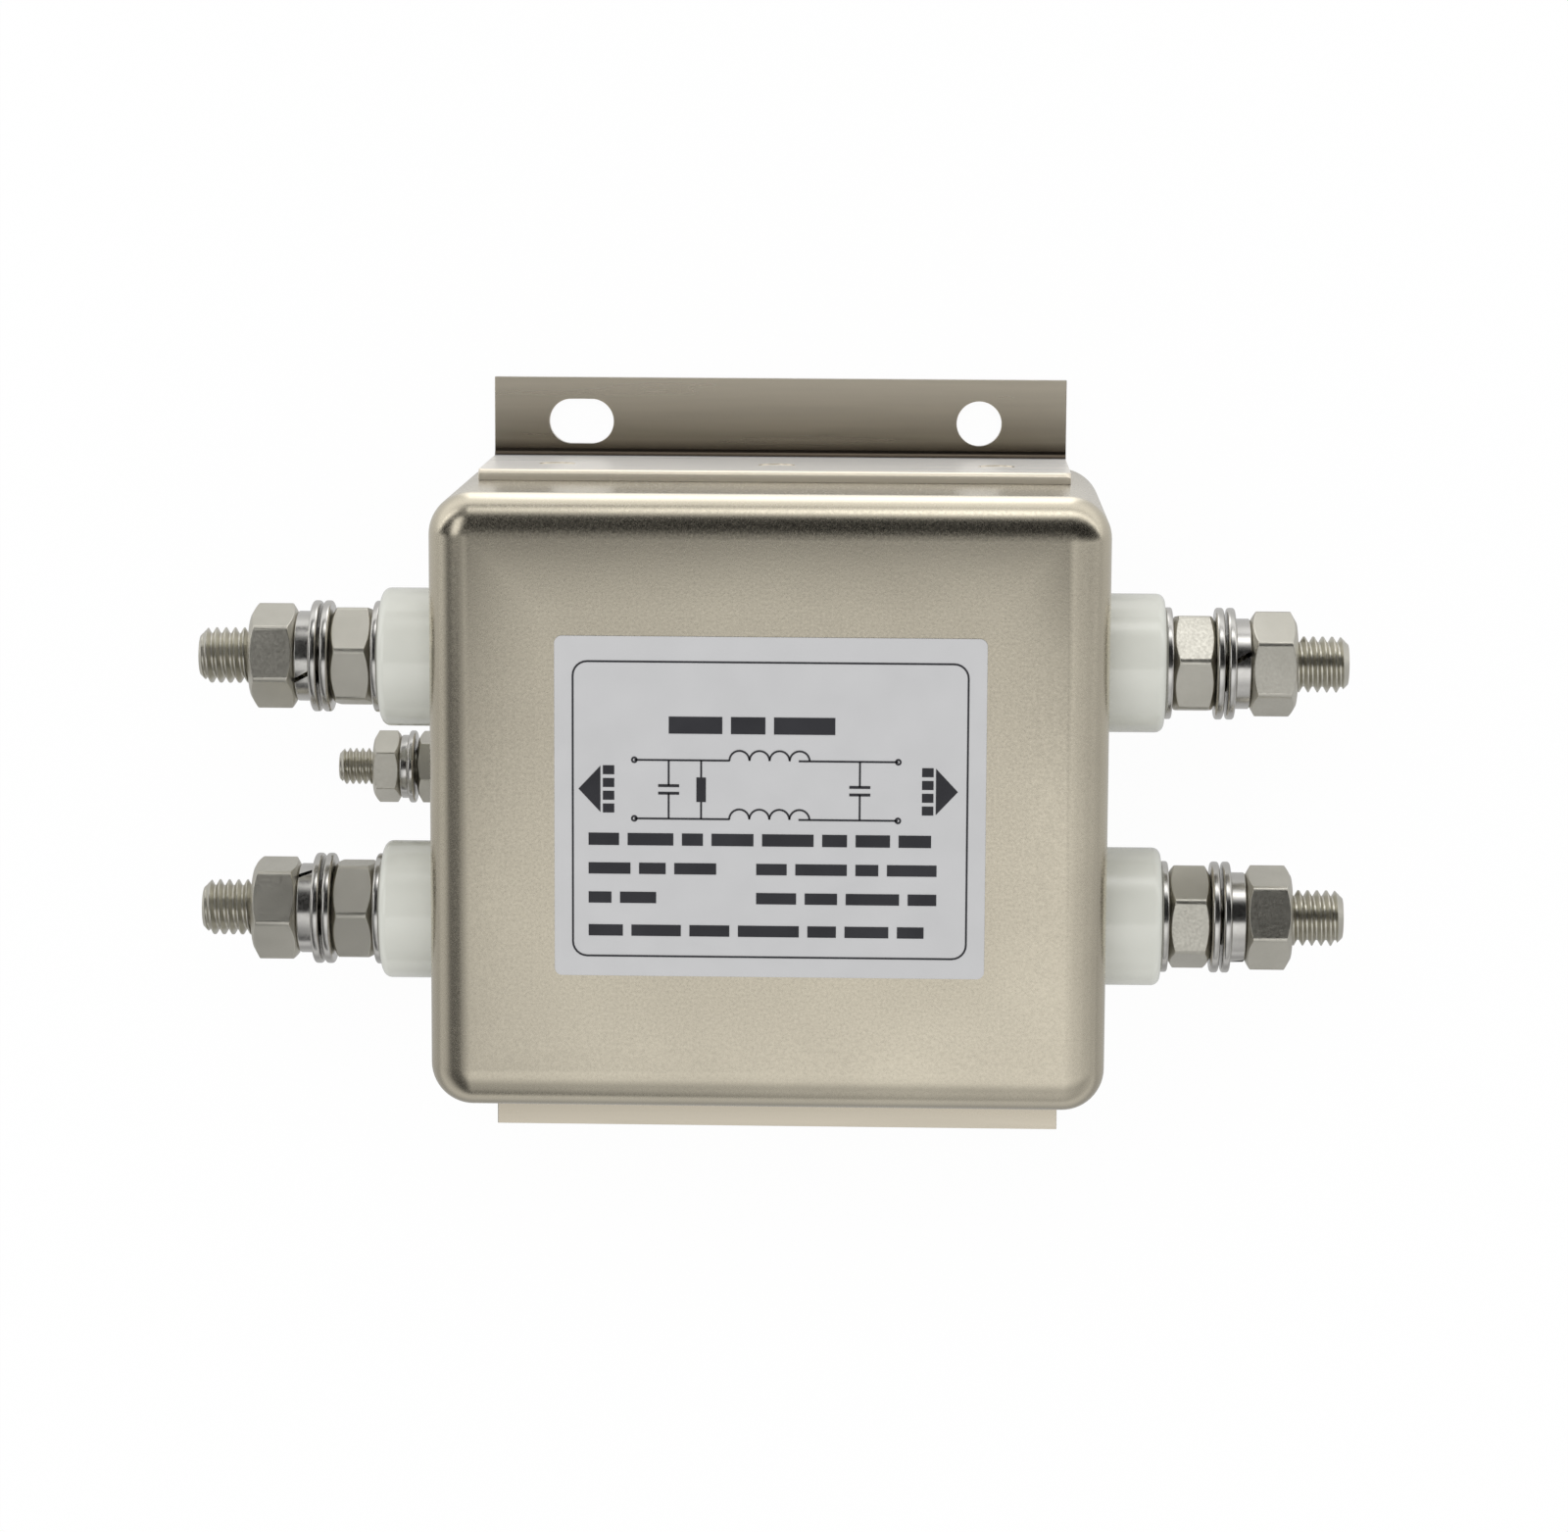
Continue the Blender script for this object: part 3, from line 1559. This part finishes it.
@dataclass
class Studio:
    """A pale floor, soft light from a studio sky, and the camera above the filter."""

    lens: float = 105.61
    distance: float = 500.1
    target: Place = (1.19, 1.74, 20.0)
    tilt: float = 8.41
    yaw: float = 1.70
    roll: float = 0.29
    # How bright metal mirrors the floor, by its place along Y in millimetres
    floor_y: Stops = (
        (-300, 0.7), (-130, 0.62), (-75, 0.35), (-40, 0.5), (20, 0.62), (60, 0.75),
        (85, 0.95), (120, 1.1), (300, 1.1),
    )
    # How bright the studio mirrors in metal, by degrees from the zenith towards +Y
    along_y: Stops = (
        (-100, 0.66), (-60, 0.74), (-49, 0.62), (-38, 0.8), (-28, 1.0), (-20, 1.1),
        (-13, 1.12), (-10.5, 1.05), (-9, 1.04), (-7.5, 1.24), (-6, 1.2), (-4.8, 0.85),
        (-3, 0.35), (-1.5, 0.08), (0, 0.02), (44, 0.02), (50, 0.15), (56, 0.6),
        (62, 1.3), (67, 2.6), (74, 2.6), (79, 1.5), (85, 0.9), (92, 0.95),
    )
    # The same by degrees towards +X, as a share
    along_x: Stops = (
        (-100, 0.95), (-85, 0.9), (-75, 0.75), (-62, 0.4), (-54, 0.14), (-24, 0.1),
        (-18, 0.25), (-12, 0.6), (-8.5, 0.85), (-6.5, 0.94), (-2, 0.98), (1.5, 1.06),
        (6, 1.06), (9, 0.95), (14, 0.82), (40, 0.75), (52, 0.65), (62, 0.65),
        (80, 0.75), (100, 0.8),
    )
    # A pale card to the left, by degrees towards +X and towards +Y
    card_x: Stops = ((-50, 0), (-38, 1.3), (-24, 1.3), (-18, 0))
    card_y: Stops = ((-3, 0), (1, 1), (42, 1), (50, 0))
    # A bright card on the floor above the filter, by millimetres along X and along Y
    sheet_x: Stops = ((-46, 0), (-37, 1), (37, 1), (46, 0))
    sheet_y: Stops = ((44, 0), (56, 1.0), (75, 1.4), (90, 1.4), (120, 0.6), (170, 0))
    # How much of the floor's own shading gives way to an even white for the eye
    even: float = 0.96
    # How bright the sky lights matt faces
    fill: float = 0.78
    # Name, place and size in metres, and watts of each lamp
    lamps: tuple[tuple[str, Place, tuple[float, float], float], ...] = (
        ("soft_lamp", (-0.15, 0.55, 1.0), (0.9, 0.6), 3.8),
        ("fill_lamp", (0.1, -1.0, 0.35), (0.9, 0.4), 2.2),
        ("edge_lamp", (0.05, 1.0, 0.3), (0.9, 0.3), 1.6),
    )

    def camera(self) -> None:
        """Sets the camera up on its own axes."""
        turn = (
            Matrix.Rotation(math.radians(self.yaw), 3, "Y")
            @ Matrix.Rotation(math.radians(-self.tilt), 3, "X")
            @ Matrix.Rotation(math.radians(self.roll), 3, "Z")
        )
        data = bpy.data.cameras.new("camera")
        data.lens = self.lens
        data.sensor_fit = "HORIZONTAL"
        data.sensor_width = 36
        data.clip_end = 20
        camera = bpy.data.objects.new("camera", data)
        place = (Vector(self.target) + turn @ Vector((0, 0, self.distance))) * MM
        camera.matrix_world = Matrix.Translation(place) @ turn.to_4x4()
        bpy.context.scene.collection.objects.link(camera)
        bpy.context.scene.camera = camera

    def floor(self) -> None:
        """Lays a white floor that keeps the filter's shadow."""
        plane = bpy.ops.mesh.primitive_plane_add
        floor = Workpiece.begun("floor", plane, size=8, location=(0, 0, -0.02 * MM))
        sheet = Sheet("white_painted_floor", Roughness=0.9, Specular_IOR_Level=0.0)
        sheet.tint(sheet.grain(400), "#ececec", "#f4f4f4")
        path = sheet.parts("ShaderNodeLightPath", {})
        seen = sheet.math("MAXIMUM", path["Is Camera Ray"], path["Is Glossy Ray"])
        seen = sheet.math("MAXIMUM", seen, path["Is Transmission Ray"])
        share = sheet.math("MULTIPLY", seen, self.even)
        spot = sheet.parts("ShaderNodeSeparateXYZ", {0: sheet.place})
        runs = (
            sheet.run(spot[axis], -0.5, 0.5, [(at * MM, light) for at, light in stops])
            for axis, stops in zip("XYY", (self.sheet_x, self.sheet_y, self.floor_y))
        )
        mirrored = sheet.math("MULTIPLY_ADD", *runs)
        strength = sheet.either(path["Is Camera Ray"], mirrored, 1.0)
        glow = sheet.add("ShaderNodeEmission", {"Strength": strength})
        shaders = {0: share, 1: sheet.shader.outputs[0], 2: glow}
        mixed = sheet.add("ShaderNodeMixShader", shaders)
        output = sheet.tree.nodes["Material Output"]
        sheet.tree.links.new(mixed, output.inputs["Surface"])
        sheet.material.cycles.emission_sampling = "NONE"
        floor.obj.data.materials.append(sheet.material)

    def band(self, sky: Graph, across: Any, up: Any, stops: Stops) -> Any:
        """Adds the studio's brightness by the angle from the zenith in one plane.

        Args:
            sky: the world's nodes.
            across: the direction's part along the floor.
            up: the direction's upward part.
            stops: angles in degrees and their brightness.

        Returns:
            The socket that gives the brightness.
        """
        angle = sky.math("ARCTAN2", across, up)
        turned = [(math.radians(degrees), light) for degrees, light in stops]
        return sky.run(angle, -math.pi, math.pi, turned)

    def sky(self) -> None:
        """Makes the studio's world: white behind, panels and dark gaps in mirrors."""
        world = bpy.data.worlds.new("studio")
        world.use_nodes = True
        sky = Graph(world.node_tree)
        place = sky.parts("ShaderNodeTexCoord", {})["Generated"]
        way = sky.parts("ShaderNodeSeparateXYZ", {0: place})
        by_y, by_x, wide, deep = (
            self.band(sky, way[axis], way["Z"], stops)
            for axis, stops in zip(
                "YXXY", (self.along_y, self.along_x, self.card_x, self.card_y)
            )
        )
        card = sky.math("MULTIPLY", wide, deep)
        mirror = sky.math("MULTIPLY_ADD", by_y, by_x, card)
        path = sky.parts("ShaderNodeLightPath", {})
        glossy = sky.either(path["Is Glossy Ray"], self.fill, mirror)
        seen = sky.either(path["Is Camera Ray"], glossy, 1.0)
        back = sky.tree.nodes["Background"]
        sky.tree.links.new(seen, back.inputs["Strength"])
        back.inputs["Color"].default_value = (1, 1, 1, 1)
        # Light finds the world by its rays alone, so mirrors and matt faces see their own
        world.cycles.sampling_method = "NONE"
        bpy.context.scene.world = world

    def lamp(self, name: str, place: Place, size: Sequence[float], watts: float) -> None:
        """Hangs a soft lamp that mirrors don't show, aimed at the filter.

        Args:
            name: the lamp's name.
            place: where it hangs, in metres.
            size: its width and height in metres.
            watts: its strength.
        """
        data = bpy.data.lights.new(name, "AREA")
        data.shape = "RECTANGLE"
        data.size, data.size_y = size
        data.energy = watts
        lamp = bpy.data.objects.new(name, data)
        lamp.visible_glossy = False
        lamp.location = place
        lamp.rotation_euler = (-Vector(place)).to_track_quat("-Z", "Y").to_euler()
        bpy.context.scene.collection.objects.link(lamp)

    def build(self) -> None:
        """Sets the studio up."""
        bpy.context.scene.view_settings.view_transform = "Standard"
        self.camera()
        self.floor()
        self.sky()
        for lamp in self.lamps:
            self.lamp(*lamp)


def main() -> None:
    """Builds the filter piece by piece, then the studio."""
    logging.basicConfig(level=logging.INFO, format="%(message)s")
    drawn = NickelPlate(
        "satin_nickel_on_drawn_steel", "#c9c1af", "#d3cbb8", 0.25, 0.05, 0.3, 0.003, veil=0.1
    ).material()
    bent = BarrelNickel(
        "dull_nickel_on_bent_sheet", "#a89f8e", "#dcd3c1", "#5c5348", "#e9e0ce"
    ).material()
    finishes = Finishes(
        satin=NickelPlate(
            "satin_nickel_on_machined_nuts", "#cac7bc", "#d8d5ca", 0.36, 0.08, 0.3, 0.004, 5
        ).material(),
        polished=NickelPlate(
            "bright_nickel_on_tumbled_washers", "#c8c6c1", "#d3d1cd", 0.2, 0.05, 0.3, 0.002, 5
        ).material(),
        thread=NickelPlate(
            "nickel_on_rolled_thread", "#cfccc0", "#dbd8cd", 0.32, 0.05, 0.25, 0.002, 5
        ).material(),
        plastic=MouldedPlastic(
            "glossy_white_bushing_plastic", "#cdcec6", "#d4d5cd", 0.1
        ).material(),
    )
    Can().build(drawn)
    PressedLid().build(drawn)
    Bracket().build(bent)
    Label().build(
        PrintedFilm("matt_polyester_label_film", "#bcbcbd", "#c1c1c2", 0.5).material(),
        PrintedFilm("screen_printed_black_ink", "#26262a", "#303034", 0.45).material(),
    )
    TerminalSet().build(finishes)
    EarthTerminal().build(finishes)
    Interior().build()
    Studio().build()


if __name__ == "__main__":
    main()
